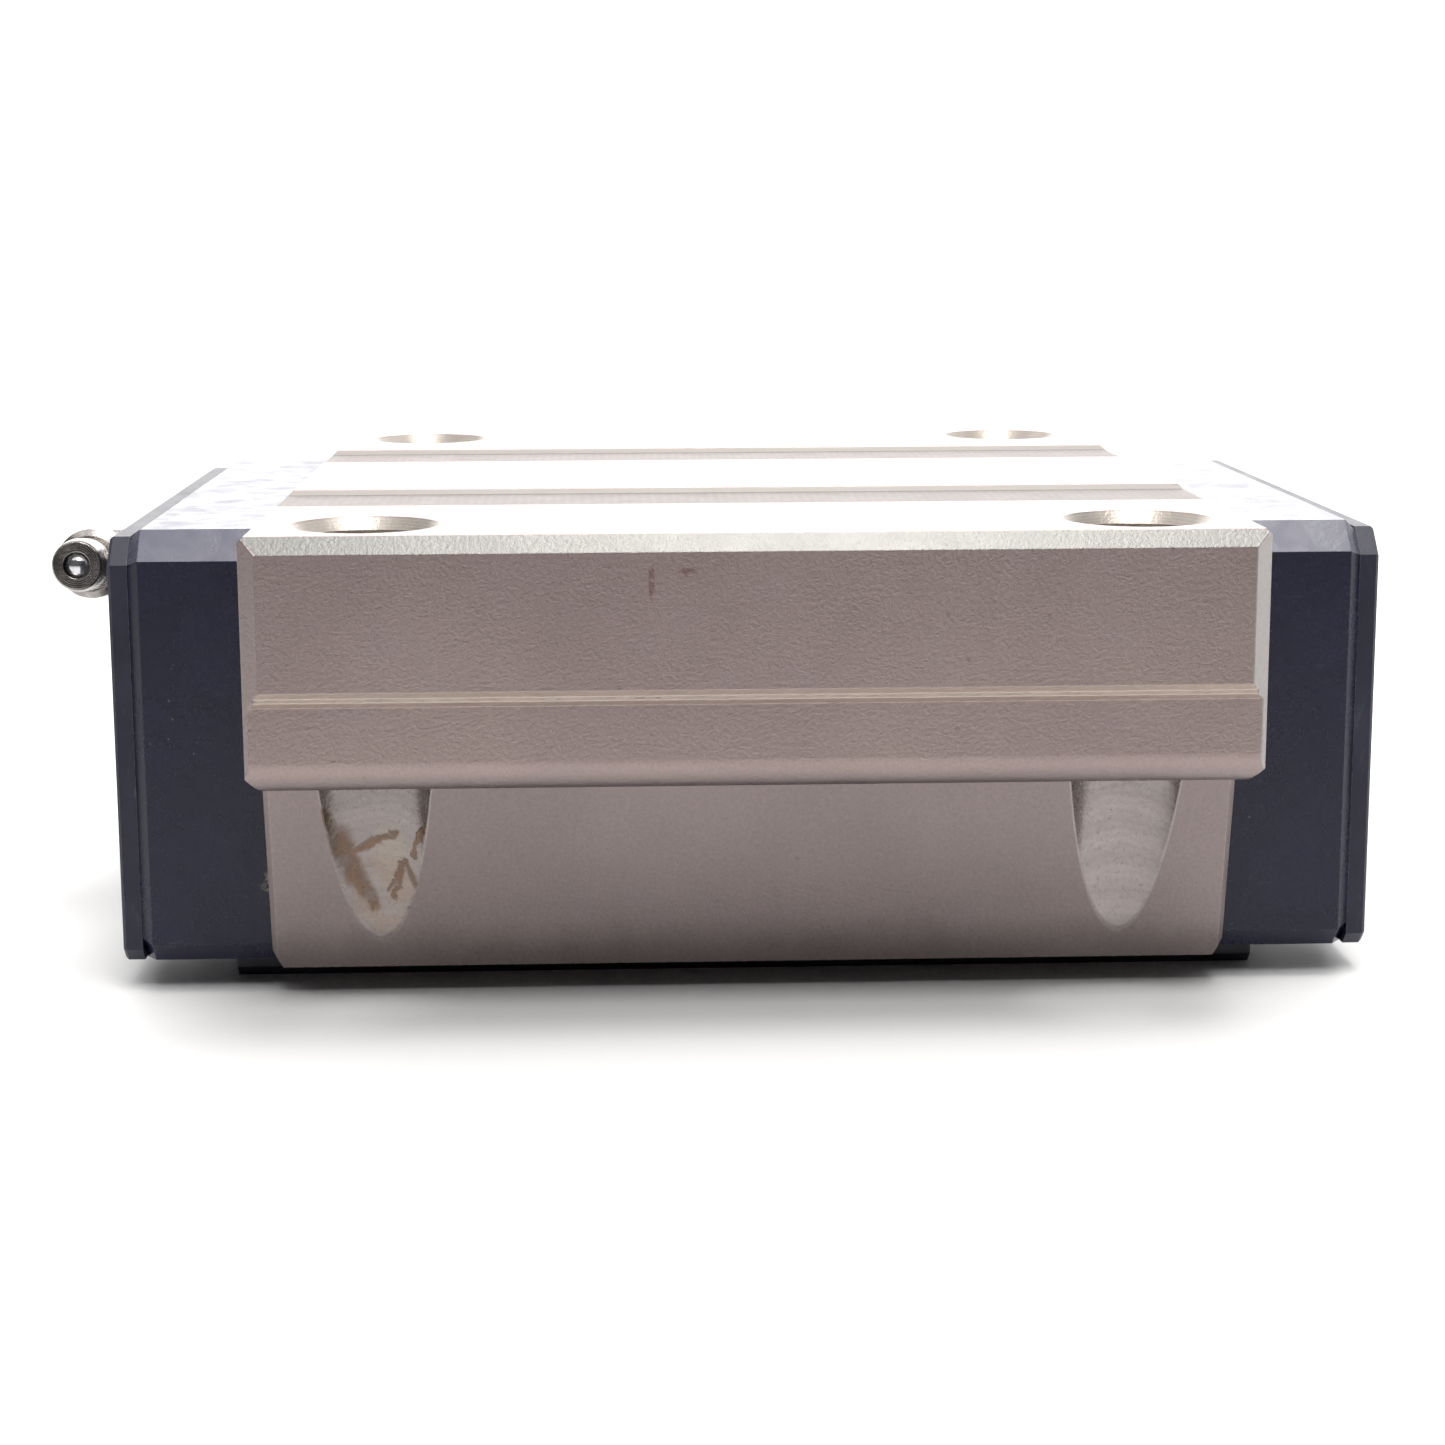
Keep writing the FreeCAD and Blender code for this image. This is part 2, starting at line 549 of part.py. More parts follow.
for level, c in CIRCUITS.items():
    for sy, name in ((-1, "front"), (1, "back")):
        a = math.radians(c["tilt"])
        d = Vector(0, sy * math.cos(a), math.sin(a))
        axis = Vector(0, -math.sin(a), sy * math.cos(a))
        for sx, side in ((-1, "left"), (1, "right")):
            tag = "%s_%s_%s" % (level, name, side)
            # the half cylinder starts at xdir and turns about the axis by 180 degrees
            xdir = d * -1 if sx > 0 else d
            rot = Rotation(xdir, axis.cross(xdir), axis, "ZXY")
            cyl = doc.addObject("Part::Cylinder", "spool_" + tag)
            bind(cyl, "Radius", q("guide_rad"))
            bind(cyl, "Height", 2 * q("guide_half"))
            cyl.Angle = 180
            cyl.Placement = Placement(Vector(0, 0, -VAL["guide_half"]), Rotation())
            cyl.setExpression(".Placement.Base.z", (-q("guide_half")).e)
            tor = doc.addObject("Part::Torus", "rim_" + tag)
            bind(tor, "Radius1", q("turn_rad"))
            bind(tor, "Radius2", q("track_rad"))
            cut = doc.addObject("Part::Cut", "guide_" + tag)
            cut.Base, cut.Tool = cyl, tor
            place(cut, (sx * half_long, sy * c["mid"][0], c["mid"][1]), rot)
            publish(cut, "turn_guide_" + tag)


# ---------------------------------------------------------------- balls
# Twelve balls on each straight and three in each turn. The pitch on the
# straights equals the pitch in the turns measured along the centre line.

def ball_row(label, spots):
    parts = []
    for i, p in enumerate(spots):
        s = doc.addObject("Part::Sphere", "%s_%d" % (label, i + 1))
        bind(s, "Radius", q("ball_dia") / 2)
        place(s, p, Rotation())
        parts.append(s)
    group = doc.addObject("Part::Compound", label)
    group.Links = parts
    return publish(group, label)


for level, c in CIRCUITS.items():
    for sy, name in ((-1, "front"), (1, "back")):
        for run in ("load", "ret"):
            y, z = c[run]
            word = "load" if run == "load" else "return"
            ball_row("balls_%s_%s_%s" % (word, level, name),
                     [((i - 5.5) * q("ball_pitch"), sy * y, z) for i in range(12)])
        for sx, side in ((-1, "left"), (1, "right")):
            spots = []
            for angle in (30.0, 90.0, 150.0):
                out = q("turn_rad") * math.sin(math.radians(angle))
                lift = q("turn_rad") * -math.cos(math.radians(angle))
                spots.append((sx * (half_long + out), sy * (c["mid"][0] + lift * qcos(c["tilt_q"])),
                              c["mid"][1] + lift * qsin(c["tilt_q"])))
            ball_row("balls_turn_%s_%s_%s" % (level, name, side), spots)


# ---------------------------------------------------------------- retainers
# Strips that keep the loaded balls in the block while it is off the rail: their
# edges leave a slot narrower than a ball.

def strip(label, loops, circles):
    b = new_body(label)
    sk = draw(new_sketch(b, label + "_section", "YZ_Plane"), loops)
    feature(b, "Pad", label + "_pad", sk, q("block_length"), side="Symmetric")
    sk = draw(new_sketch(b, label + "_tracks", "YZ_Plane"), circles=circles)
    feature(b, "Pocket", label + "_track_cut", sk, q("block_length") + 2, side="Symmetric")
    return publish(b, label)


roof, up, low = q("roof_down"), q("upper_down"), q("lower_down")
strip("retainer_top", [mirror([
    (q("roof_half") - 0.08, -roof), (load_y - 1.35, -(up - 3.13)), (load_y - 1.35, -(up - 2.6)),
    (load_y - 2.3, -(up - 2.25)), (load_y - 3.6, -(up - 2.1)), (load_y - 4.4, -(roof + 1.1))])],
    both(load_y, -up, q("track_rad") + 0.03))
for sy, name in ((-1, "front"), (1, "back")):
    strip("retainer_middle_" + name, [[
        (sy * (load_y + 0.05), -(up + 3.38)), (sy * (q("land_half") - 0.05), -(up + 2.95)),
        (sy * (q("land_half") - 0.05), -(low - 2.95)), (sy * (load_y + 0.05), -(low - 3.38))]],
        [(sy * load_y, -up, q("track_rad") + 0.01), (sy * load_y, -low, q("track_rad") + 0.01)])
    strip("retainer_lower_" + name, [[
        (sy * (load_y - 2.3), -(low + 2.2)), (sy * load_y, -(low + 1.9)), (sy * (load_y + 1.1), -(low + 2.6)),
        (sy * (q("leg_half") - 0.05), -(low + 3.2)), (sy * (q("leg_half") - 0.05), -q("body_down")),
        (sy * (load_y + 0.1), -q("body_down")), (sy * (load_y + 0.1), -(low + 4.7)),
        (sy * (load_y - 2.3), -(low + 3.9)), (sy * (load_y - 2.7), -(low + 2.9))]],
        [(sy * load_y, -low, q("track_rad") + 0.03)])


# ---------------------------------------------------------------- end seals
# A pressed plate on each cap and a rubber lip bonded round its rail opening.

cap_end = half_long + q("cap_long")
for sx, side in ((-1, "left"), (1, "right")):
    b = new_body("end_seal_plate_" + side)
    off = (None, None, sx * cap_end)
    sk = draw(new_sketch(b, "plate_section_" + side, "YZ_Plane", off), [mirror([
        (q("plate_half") - q("plate_top_bevel"), -q("plate_top")),
        (q("plate_half"), -(q("plate_top") + q("plate_top_bevel"))),
        (q("plate_half"), -(q("plate_low") - q("plate_low_bevel"))),
        (q("plate_half") - q("plate_low_bevel"), -q("plate_low"))])])
    feature(b, "Pad", "plate_pad_" + side, sk, q("plate_thick"), reverse=(sx < 0))
    bevel(b, "plate_edge_" + side, Q(0.25), lambda e: ends(e, cap_end.v + VAL["plate_thick"]))
    sk = draw(new_sketch(b, "plate_opening_" + side, "YZ_Plane", off), [rail_gap(q("lip_wide"), q("plate_low") + 1)])
    feature(b, "Pocket", "plate_opening_cut_" + side, sk, q("plate_thick") + 1, reverse=(sx > 0))
    holes = [(y, z, q("screw_dia") / 2 + 0.1) for y, z in SCREWS] + [(Z0, -q("port_z"), q("port_dia") / 2 + 0.1)]
    sk = draw(new_sketch(b, "plate_holes_" + side, "YZ_Plane", off), circles=holes)
    feature(b, "Pocket", "plate_hole_cut_" + side, sk, q("plate_thick") + 1, reverse=(sx > 0))
    bevel(b, "plate_sink_" + side, Q(1.55),
          lambda e: ends(e, cap_end.v + VAL["plate_thick"]) and isinstance(e.Curve, Part.Circle)
          and abs(e.Curve.Radius - (VAL["screw_dia"] / 2 + 0.1)) < 1e-6)
    publish(b, "end_seal_plate_" + side)

    b = new_body("end_seal_lip_" + side)
    outer = rail_gap(q("lip_wide"), q("plate_low"))
    edge = rail_gap(q("lip_thin"), q("plate_low"))
    inner = rail_gap(Z0, q("plate_low") + 1)
    sk = draw(new_sketch(b, "lip_foot_" + side, "YZ_Plane", off), [outer])
    feature(b, "Pad", "lip_foot_pad_" + side, sk, q("lip_foot"), reverse=(sx < 0))
    bevel(b, "lip_round_" + side, Q(0.45),
          lambda e: ends(e, cap_end.v + VAL["lip_foot"]) and not all(abs(v.Point.z + VAL["plate_low"]) < 1e-4 for v in e.Vertexes))
    sk = draw(new_sketch(b, "lip_edge_" + side, "YZ_Plane", (None, None, sx * (cap_end + q("lip_foot")))), [edge])
    feature(b, "Pad", "lip_edge_pad_" + side, sk, q("lip_edge"), reverse=(sx < 0))
    bevel(b, "lip_taper_" + side, Q(0.5),
          lambda e: ends(e, cap_end.v + VAL["lip_foot"] + VAL["lip_edge"]) and not all(abs(v.Point.z + VAL["plate_low"]) < 1e-4 for v in e.Vertexes))
    sk = draw(new_sketch(b, "lip_opening_" + side, "YZ_Plane", off), [inner])
    feature(b, "Pocket", "lip_opening_cut_" + side, sk, q("lip_foot") + q("lip_edge") + 1, reverse=(sx > 0))
    publish(b, "end_seal_lip_" + side)


# ---------------------------------------------------------------- side seals
# Strips under the legs: a stiff carrier, held at both ends by tongues in the
# caps, and a rubber lip that reaches the rail's side.

for sy, name in ((-1, "front"), (1, "back")):
    b = new_body("side_seal_carrier_" + name)
    top, base = q("body_down"), q("body_down") + q("side_deep")
    sb = q("side_bevel")
    sk = draw(new_sketch(b, "carrier_section_" + name, "YZ_Plane"), [[
        (sy * q("side_in"), -top), (sy * q("side_out"), -top), (sy * q("side_out"), -(base - sb)),
        (sy * (q("side_out") - sb), -base), (sy * (q("side_in") + sb), -base), (sy * q("side_in"), -(base - sb))]])
    feature(b, "Pad", "carrier_pad_" + name, sk, 2 * q("side_half_long"), side="Symmetric")
    loops = []
    for sx in (1, -1):
        x0, x1 = sx * (half_long + 0.1), sx * (half_long + 0.1 + q("tongue_long"))
        loops.append([(x0, sy * q("tongue_in")), (x1, sy * q("tongue_in")), (x1, sy * q("tongue_out")), (x0, sy * q("tongue_out"))])
    sk = draw(new_sketch(b, "carrier_tongues_" + name, "XY_Plane", (None, None, -top)), loops)
    feature(b, "Pad", "carrier_tongue_pad_" + name, sk, q("tongue_high"))
    publish(b, "side_seal_carrier_" + name)

    b = new_body("side_seal_lip_" + name)
    sk = draw(new_sketch(b, "side_lip_section_" + name, "YZ_Plane"), [[
        (sy * q("side_in"), -top), (sy * q("side_in"), -(top + 1.6)), (sy * (q("side_in") - 0.9), -(top + 1.9)),
        (sy * (q("rail_land") + 0.05), -(top + 1.35)), (sy * (q("rail_land") + 0.2), -(top + 1.05)),
        (sy * (q("side_in") - 1.0), -(top + 0.7)), (sy * (q("side_in") - 1.0), -top)]])
    feature(b, "Pad", "side_lip_pad_" + name, sk, 2 * q("side_half_long"), side="Symmetric")
    publish(b, "side_seal_lip_" + name)


# ---------------------------------------------------------------- end screws
# Countersunk cross-recess screws, four to an end, through plate and cap into
# the block.

def screw(label, sx, y, z):
    shank = doc.addObject("Part::Cylinder", label + "_shank")
    bind(shank, "Radius", q("screw_dia") / 2 - q("screw_fit"))
    bind(shank, "Height", q("screw_long"))
    head = doc.addObject("Part::Cone", label + "_head")
    bind(head, "Radius1", q("screw_dia") / 2 - q("screw_fit"))
    bind(head, "Radius2", q("screw_head"))
    bind(head, "Height", q("screw_head") - q("screw_dia") / 2 + q("screw_fit"))
    place(head, (Z0, Z0, q("screw_long") - (q("screw_head") - q("screw_dia") / 2 + q("screw_fit"))), Rotation())
    whole = doc.addObject("Part::MultiFuse", label + "_blank")
    whole.Shapes = [shank, head]
    bars = []
    for i, turn in enumerate((0, 90)):
        bar = doc.addObject("Part::Box", "%s_slot_%d" % (label, i + 1))
        bind(bar, "Length", q("screw_head") * 1.15)
        bind(bar, "Width", q("screw_dia") * 0.17)
        bind(bar, "Height", q("screw_dia") * 0.5)
        half = Vector(-bar.Length.Value / 2, -bar.Width.Value / 2, 0)
        r = Rotation(Vector(0, 0, 1), turn)
        bar.Placement = Placement(r.multVec(half) + Vector(0, 0, VAL["screw_long"] - 1.3), r)
        bars.append(bar)
    cross = doc.addObject("Part::MultiFuse", label + "_cross")
    cross.Shapes = bars
    cut = doc.addObject("Part::Cut", label)
    cut.Base, cut.Tool = whole, cross
    tip = cap_end + q("plate_thick") - 0.05 - q("screw_long")
    place(cut, (sx * tip, y, z), Rotation(Vector(0, 1, 0), 90 * sx))
    return cut


for sx, side in ((-1, "left"), (1, "right")):
    group = doc.addObject("Part::Compound", "end_screws_" + side)
    group.Links = [screw("end_screw_%s_%d" % (side, i + 1), sx, y, z) for i, (y, z) in enumerate(SCREWS)]
    publish(group, "end_screws_" + side)


# ---------------------------------------------------------------- grease fittings
# The nipple screws into the left cap and its head points to the front; the
# right cap's port is closed by a socket set screw.

seal_end = cap_end + q("plate_thick")
lean = math.radians(VAL["nipple_lean"])
head_dir = Vector(0, -math.cos(lean), math.sin(lean))
head_turn = Rotation(Vector(0, 0, 1), head_dir)
along = Rotation(Vector(0, 1, 0), -90)


def on_head(dist):
    """A point on the head's axis, dist from the elbow's centre."""
    dist = Q.of(dist)
    return (-(seal_end + q("elbow_out")), -(dist * qcos(q("nipple_lean"))),
            dist * qsin(q("nipple_lean")) - q("port_z"))


elbow_at = on_head(0)


def cylinder(name, radius, height, base, rotation):
    c = doc.addObject("Part::Cylinder", name)
    bind(c, "Radius", radius)
    bind(c, "Height", height)
    place(c, base, rotation)
    return c


stub = cylinder("nipple_stub", q("port_dia") / 2 - q("screw_fit"), Q(9.0) + q("elbow_out"),
                (-(seal_end - 9.0), Z0, -q("port_z")), along)
hexa = doc.addObject("Part::Prism", "nipple_hexagon")
hexa.Polygon = 6
bind(hexa, "Circumradius", q("hex_across") / math.sqrt(3))
bind(hexa, "Height", q("hex_thick"))
place(hexa, (-seal_end, Z0, -q("port_z")), along)
barrel = cylinder("nipple_barrel", q("elbow_rad"), q("elbow_out") - q("hex_thick"),
                  (-(seal_end + q("hex_thick")), Z0, -q("port_z")), along)
knuckle = doc.addObject("Part::Sphere", "nipple_knuckle")
bind(knuckle, "Radius", q("elbow_rad"))
place(knuckle, elbow_at, Rotation())
branch = cylinder("nipple_branch", q("elbow_rad"), q("branch_long") - 0.6, elbow_at, head_turn)
collar = doc.addObject("Part::Cone", "nipple_collar")
bind(collar, "Radius1", q("elbow_rad"))
bind(collar, "Radius2", q("elbow_rad") - 0.6)
bind(collar, "Height", Q(0.6))
place(collar, on_head(q("branch_long") - 0.6), head_turn)
blank = doc.addObject("Part::MultiFuse", "nipple_blank")
blank.Shapes = [stub, hexa, barrel, knuckle, branch, collar]
way_a = cylinder("nipple_way_inner", Q(1.0), Q(9.0) + q("elbow_out"), (-(seal_end - 9.0), Z0, -q("port_z")), along)
way_b = cylinder("nipple_way_outer", Q(1.0), q("branch_long"), elbow_at, head_turn)
socket = cylinder("nipple_socket", Q(2.0), Q(2.0), on_head(q("branch_long") - 2.0), head_turn)
bores = doc.addObject("Part::MultiFuse", "nipple_bores")
bores.Shapes = [way_a, way_b, socket]
elbow = doc.addObject("Part::Cut", "nipple_elbow")
elbow.Base, elbow.Tool = blank, bores
publish(elbow, "nipple_elbow")

# pressed-in head, turned: spigot, neck, collar, cone and mouth
head = new_body("nipple_head")
seat = q("branch_long")
tip = q("head_long")
sk = draw(new_sketch(head, "head_section", "XZ_Plane"), [[
    (q("way_rad"), seat - 2.0), (Q(2.0), seat - 2.0), (Q(2.0), seat), (q("head_neck"), seat),
    (q("head_neck"), seat + 2.0), (q("head_rad"), seat + 2.3), (q("head_rad"), tip - 1.6),
    (q("head_tip") + 0.15, tip - 0.25), (q("head_tip"), tip), (q("mouth_rad"), tip),
    (q("mouth_rad"), tip - q("mouth_deep")), (q("valve_rad"), tip - q("mouth_deep")),
    (q("valve_rad"), tip - 4.8), (q("way_rad"), tip - 4.8)]])
feature(head, "Revolution", "head_turned", sk)
head.Placement = Placement(Vector(elbow_at[0].v, 0, elbow_at[2].v), head_turn)
publish(head, "nipple_head")

check = doc.addObject("Part::Sphere", "nipple_check_ball")
bind(check, "Radius", q("valve_ball"))
seat_back = math.sqrt(VAL["valve_ball"] ** 2 - VAL["mouth_rad"] ** 2)
check_at = VAL["head_long"] - VAL["mouth_deep"] - seat_back - VAL["valve_gap"]
place(check, on_head(check_at), Rotation())
publish(check, "nipple_check_ball")

# valve spring: round wire along a helix, from the bottom of the valve bore to the check ball
wire_r = VAL["spring_wire"] / 2
low_end = VAL["head_long"] - 4.8 + wire_r + 0.02
top_end = check_at - math.sqrt(VAL["valve_ball"] ** 2 - VAL["spring_rad"] ** 2) - wire_r - 0.05
turns = int((top_end - low_end) / VAL["spring_pitch"])
pitch = (top_end - low_end) / turns
helix = Part.makeHelix(pitch, top_end - low_end, VAL["spring_rad"])
slope = Vector(0, 2 * math.pi * VAL["spring_rad"], pitch).normalize()
start = Part.Wire([Part.Circle(Vector(VAL["spring_rad"], 0, 0), slope, wire_r).toShape()])
coil = Part.Wire(helix).makePipeShell([start], True, True)
spring = doc.addObject("Part::Feature", "nipple_spring")
spring.Shape = coil
spring.Placement = Placement(Vector(elbow_at[0].v, 0, elbow_at[2].v) + head_dir * low_end, head_turn)
publish(spring, "nipple_spring")

plug = new_body("grease_plug_right")
off = (None, None, seal_end - 0.6)
sk = draw(new_sketch(plug, "plug_section", "YZ_Plane", off), circles=[(Z0, -q("port_z"), q("port_dia") / 2 - q("screw_fit"))])
feature(plug, "Pad", "plug_pad", sk, Q(6.0), reverse=True)
bevel(plug, "plug_edge", Q(0.4), lambda e: ends(e, seal_end.v - 0.6) and isinstance(e.Curve, Part.Circle))
hexr = 1.5 / math.cos(math.radians(30))
sk = draw(new_sketch(plug, "plug_socket", "YZ_Plane", off), [[
    (Q(hexr * math.cos(math.radians(60 * i + 15))), -q("port_z") + hexr * math.sin(math.radians(60 * i + 15))) for i in range(6)]])
feature(plug, "Pocket", "plug_socket_cut", sk, Q(3.0))
publish(plug, "grease_plug_right")


# ---------------------------------------------------------------- checks and export

doc.recompute()
for obj in doc.Objects:
    bad = [s for s in obj.State if s in ("Invalid", "Error")]
    if bad:
        raise RuntimeError("%s (%s) is %s" % (obj.Name, obj.Label, bad))
labels = [o.Label for o in nodes]
if len(set(labels)) != len(labels) or len(labels) > 60:
    raise RuntimeError("node names repeat or are too many")
for obj in nodes:
    shape = obj.Shape
    if shape.isNull() or not shape.isValid() or not shape.Solids:
        raise RuntimeError("%s has no valid solid" % obj.Label)
os.makedirs("parts", exist_ok=True)
for obj in nodes:
    obj.Shape.exportStep("parts/%s.step" % obj.Label)
    bb = obj.Shape.BoundBox
    print("%-34s solids %2d  volume %10.2f  x %.2f %.2f  y %.2f %.2f  z %.2f %.2f" % (
        obj.Label, len(obj.Shape.Solids), obj.Shape.Volume, bb.XMin, bb.XMax, bb.YMin, bb.YMax, bb.ZMin, bb.ZMax))
print("nodes", len(nodes))
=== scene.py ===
"""Looks for a flanged linear guide carriage: materials, dressing, light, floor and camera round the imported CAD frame."""
import json
import math

import bmesh
import bpy
from mathutils import Matrix, Vector


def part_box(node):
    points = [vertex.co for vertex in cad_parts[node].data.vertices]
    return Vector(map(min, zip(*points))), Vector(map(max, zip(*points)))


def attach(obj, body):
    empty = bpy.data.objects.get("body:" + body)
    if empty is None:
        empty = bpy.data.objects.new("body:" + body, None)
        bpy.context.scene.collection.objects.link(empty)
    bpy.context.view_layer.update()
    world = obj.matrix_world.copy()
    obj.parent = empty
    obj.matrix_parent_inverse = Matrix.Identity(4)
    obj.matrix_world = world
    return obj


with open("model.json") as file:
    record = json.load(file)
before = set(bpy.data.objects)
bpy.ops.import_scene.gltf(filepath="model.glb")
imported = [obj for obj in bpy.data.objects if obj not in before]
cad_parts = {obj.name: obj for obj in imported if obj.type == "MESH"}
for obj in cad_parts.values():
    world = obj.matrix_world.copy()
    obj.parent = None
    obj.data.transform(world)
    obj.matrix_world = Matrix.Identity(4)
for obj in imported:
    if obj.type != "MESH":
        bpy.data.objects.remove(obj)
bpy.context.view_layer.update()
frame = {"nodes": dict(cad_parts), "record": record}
nodes = frame["nodes"]
ROOT = "carriage"
MM = 0.001
FLOOR_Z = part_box("side_seal_carrier_front")[0].z


# ------------------------------------------------------------------ node helpers

class N:
    """A socket of a shader tree with arithmetic."""

    def __init__(self, t, s):
        self.t, self.s = t, s

    def op(self, kind, other=None, third=None):
        n = self.t.nodes.new("ShaderNodeMath")
        n.operation = kind
        put(self.t, n.inputs[0], self)
        if other is not None:
            put(self.t, n.inputs[1], other)
        if third is not None:
            put(self.t, n.inputs[2], third)
        return N(self.t, n.outputs[0])

    def __add__(self, o):
        return self.op("ADD", o)

    def __sub__(self, o):
        return self.op("SUBTRACT", o)

    def __rsub__(self, o):
        return (self * -1.0) + o

    def __mul__(self, o):
        return self.op("MULTIPLY", o)

    def __truediv__(self, o):
        return self.op("DIVIDE", o)

    __radd__ = __add__
    __rmul__ = __mul__

    def abs(self):
        return self.op("ABSOLUTE")

    def sin(self):
        return self.op("SINE")

    def sqrt(self):
        return self.op("SQRT")

    def pow(self, p):
        return self.op("POWER", p)

    def least(self, o):
        return self.op("MINIMUM", o)

    def most(self, o):
        return self.op("MAXIMUM", o)

    def span(self, a, b, lo=0.0, hi=1.0, smooth=True):
        """lo below a, hi above b, and a smooth step between."""
        n = self.t.nodes.new("ShaderNodeMapRange")
        n.interpolation_type = "SMOOTHSTEP" if smooth else "LINEAR"
        n.clamp = True
        put(self.t, n.inputs["Value"], self)
        for name, v in (("From Min", a), ("From Max", b), ("To Min", lo), ("To Max", hi)):
            n.inputs[name].default_value = v
        return N(self.t, n.outputs["Result"])


def put(t, target, value):
    if isinstance(value, N):
        t.links.new(value.s, target)
    elif isinstance(value, (tuple, list)):
        v = list(value)
        if target.type == "RGBA" and len(v) == 3:
            v = v + [1.0]
        target.default_value = v
    else:
        target.default_value = value


def lin(r, g, b):
    """Linear colour of 0 to 255 display values."""
    return tuple(((c / 255) / 12.92) if c / 255 <= 0.04045 else (((c / 255) + 0.055) / 1.055) ** 2.4 for c in (r, g, b))


class Mat:
    """One procedural material; coordinates are the row frame's, in millimetres."""

    def __init__(self, name):
        self.m = bpy.data.materials.new(name)
        self.m.use_nodes = True
        self.t = self.m.node_tree
        self.t.nodes.clear()
        self.out = self.t.nodes.new("ShaderNodeOutputMaterial")
        self.b = self.t.nodes.new("ShaderNodeBsdfPrincipled")
        self.t.links.new(self.b.outputs[0], self.out.inputs["Surface"])
        tc = self.t.nodes.new("ShaderNodeTexCoord")
        sc = self.t.nodes.new("ShaderNodeVectorMath")
        sc.operation = "SCALE"
        sc.inputs["Scale"].default_value = 1000.0
        self.t.links.new(tc.outputs["Object"], sc.inputs[0])
        self.p = N(self.t, sc.outputs[0])
        sep = self.t.nodes.new("ShaderNodeSeparateXYZ")
        self.t.links.new(self.p.s, sep.inputs[0])
        self.x, self.y, self.z = (N(self.t, sep.outputs[i]) for i in range(3))

    def vec(self, x, y, z):
        n = self.t.nodes.new("ShaderNodeCombineXYZ")
        for i, v in enumerate((x, y, z)):
            put(self.t, n.inputs[i], v)
        return N(self.t, n.outputs[0])

    def noise(self, size, detail=2.0, rough=0.5, vec=None, twist=0.0, stretch=None, shift=0.0):
        """Noise whose features are about size millimetres wide, centred on 0.5."""
        v = vec or self.p
        if stretch or shift:
            m = self.t.nodes.new("ShaderNodeMapping")
            m.inputs["Scale"].default_value = stretch or (1, 1, 1)
            m.inputs["Location"].default_value = (shift, shift * 1.7, shift * 0.6)
            self.t.links.new(v.s, m.inputs["Vector"])
            v = N(self.t, m.outputs[0])
        n = self.t.nodes.new("ShaderNodeTexNoise")
        self.t.links.new(v.s, n.inputs["Vector"])
        n.inputs["Scale"].default_value = 1.0 / size
        n.inputs["Detail"].default_value = detail
        n.inputs["Roughness"].default_value = rough
        n.inputs["Distortion"].default_value = twist
        return N(self.t, n.outputs[0])

    def cells(self, size, shift=0.0):
        """Distance to the nearest of scattered points, in cells of size millimetres."""
        m = self.t.nodes.new("ShaderNodeMapping")
        m.inputs["Location"].default_value = (shift, shift, shift)
        self.t.links.new(self.p.s, m.inputs["Vector"])
        n = self.t.nodes.new("ShaderNodeTexVoronoi")
        self.t.links.new(m.outputs[0], n.inputs["Vector"])
        n.inputs["Scale"].default_value = 1.0 / size
        return N(self.t, n.outputs["Distance"])

    def edge(self, radius):
        """About 1 on edges sharper than radius millimetres and 0 on flat faces."""
        bv = self.t.nodes.new("ShaderNodeBevel")
        bv.samples = 6
        bv.inputs["Radius"].default_value = radius * MM
        g = self.t.nodes.new("ShaderNodeNewGeometry")
        d = self.t.nodes.new("ShaderNodeVectorMath")
        d.operation = "DOT_PRODUCT"
        self.t.links.new(bv.outputs[0], d.inputs[0])
        self.t.links.new(g.outputs["Normal"], d.inputs[1])
        return (1.0 - N(self.t, d.outputs["Value"])).span(0.005, 0.16)

    def streak(self, x0, z0, x1, z1, wide, wob):
        """1 within about wide millimetres of a line in the XZ plane, with wavy edges."""
        dx, dz = x1 - x0, z1 - z0
        px, pz = (self.x - x0) + wob * 1.6, (self.z - z0) - wob * 1.2
        t = ((px * dx + pz * dz) / (dx * dx + dz * dz)).most(0.0).least(1.0)
        d = ((px - t * dx).pow(2.0) + (pz - t * dz).pow(2.0)).sqrt()
        return d.span(wide * 0.4, wide * 1.3, 1.0, 0.0)

    def near_path(self, far):
        """1 beside a cutter path's rim on the sloping wall."""
        return far.span(5.5, 5.8, 1.0, 0.0) * self.z.span(-20.5, -20.42, 1.0, 0.0)

    def normal_z(self):
        g = self.t.nodes.new("ShaderNodeNewGeometry")
        sep = self.t.nodes.new("ShaderNodeSeparateXYZ")
        self.t.links.new(g.outputs["Normal"], sep.inputs[0])
        return N(self.t, sep.outputs[2])

    def near(self, x, y, z, rx, ry, rz):
        """1 at a place and 0 outside an ellipsoid round it, in millimetres."""
        d = ((self.x - x) / rx).pow(2.0) + ((self.y - y) / ry).pow(2.0) + ((self.z - z) / rz).pow(2.0)
        return 1.0 - d.span(0.25, 1.0)

    def mix(self, a, b, f, kind="MIX"):
        n = self.t.nodes.new("ShaderNodeMix")
        n.data_type = "RGBA"
        n.blend_type = kind
        n.clamp_factor = True
        put(self.t, n.inputs[0], f)
        put(self.t, n.inputs[6], a)
        put(self.t, n.inputs[7], b)
        return N(self.t, n.outputs[2])

    def tone(self, colour, fac):
        """A colour, or a colour socket, times a number socket."""
        g = self.t.nodes.new("ShaderNodeCombineColor")
        for i in range(3):
            put(self.t, g.inputs[i], fac)
        return self.mix(colour, N(self.t, g.outputs[0]), 1.0, "MULTIPLY")

